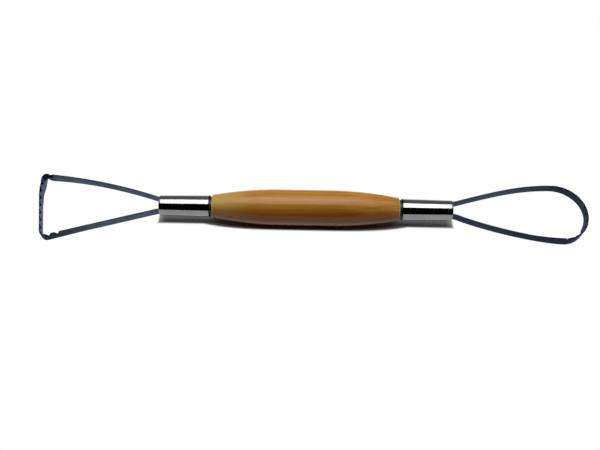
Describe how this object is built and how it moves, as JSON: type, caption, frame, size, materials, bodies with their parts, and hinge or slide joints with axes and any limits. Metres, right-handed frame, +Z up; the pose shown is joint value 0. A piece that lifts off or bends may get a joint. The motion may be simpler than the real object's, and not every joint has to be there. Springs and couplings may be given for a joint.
{
  "type": "serrated loop tool",
  "caption": "Clay trimming tool with a turned wooden barrel handle, plated ferrules and notched steel ribbon loops, flat-ended at one end and round at the other.",
  "frame": {"origin": "on the surface the tool lies on, under the middle of the tool's outline seen from above", "axes": "+X along the handle towards the round loop, +Z up, with the tool at rest on its barrel and on the -Y corner of the flat-ended loop, so the loops lean 19.6 degrees"},
  "size_m": [0.2034, 0.0252, 0.0132],
  "materials": {
    "lacquered_wood": "clear lacquered yellow-tan hardwood with a fine straight grain",
    "nickel_plate": "polished nickel plate with faint draw lines",
    "ribbon_steel": "blued spring-steel strip, satin, darker on the cut edges",
    "resin": "set amber epoxy"
  },
  "bodies": {
    "root": {"handle": "lacquered_wood", "flat_end_ferrule": "nickel_plate", "round_end_ferrule": "nickel_plate", "flat_loop_blade": "ribbon_steel", "round_loop_blade": "ribbon_steel", "flat_end_resin": "resin", "round_end_resin": "resin"}
  },
  "joints": []
}
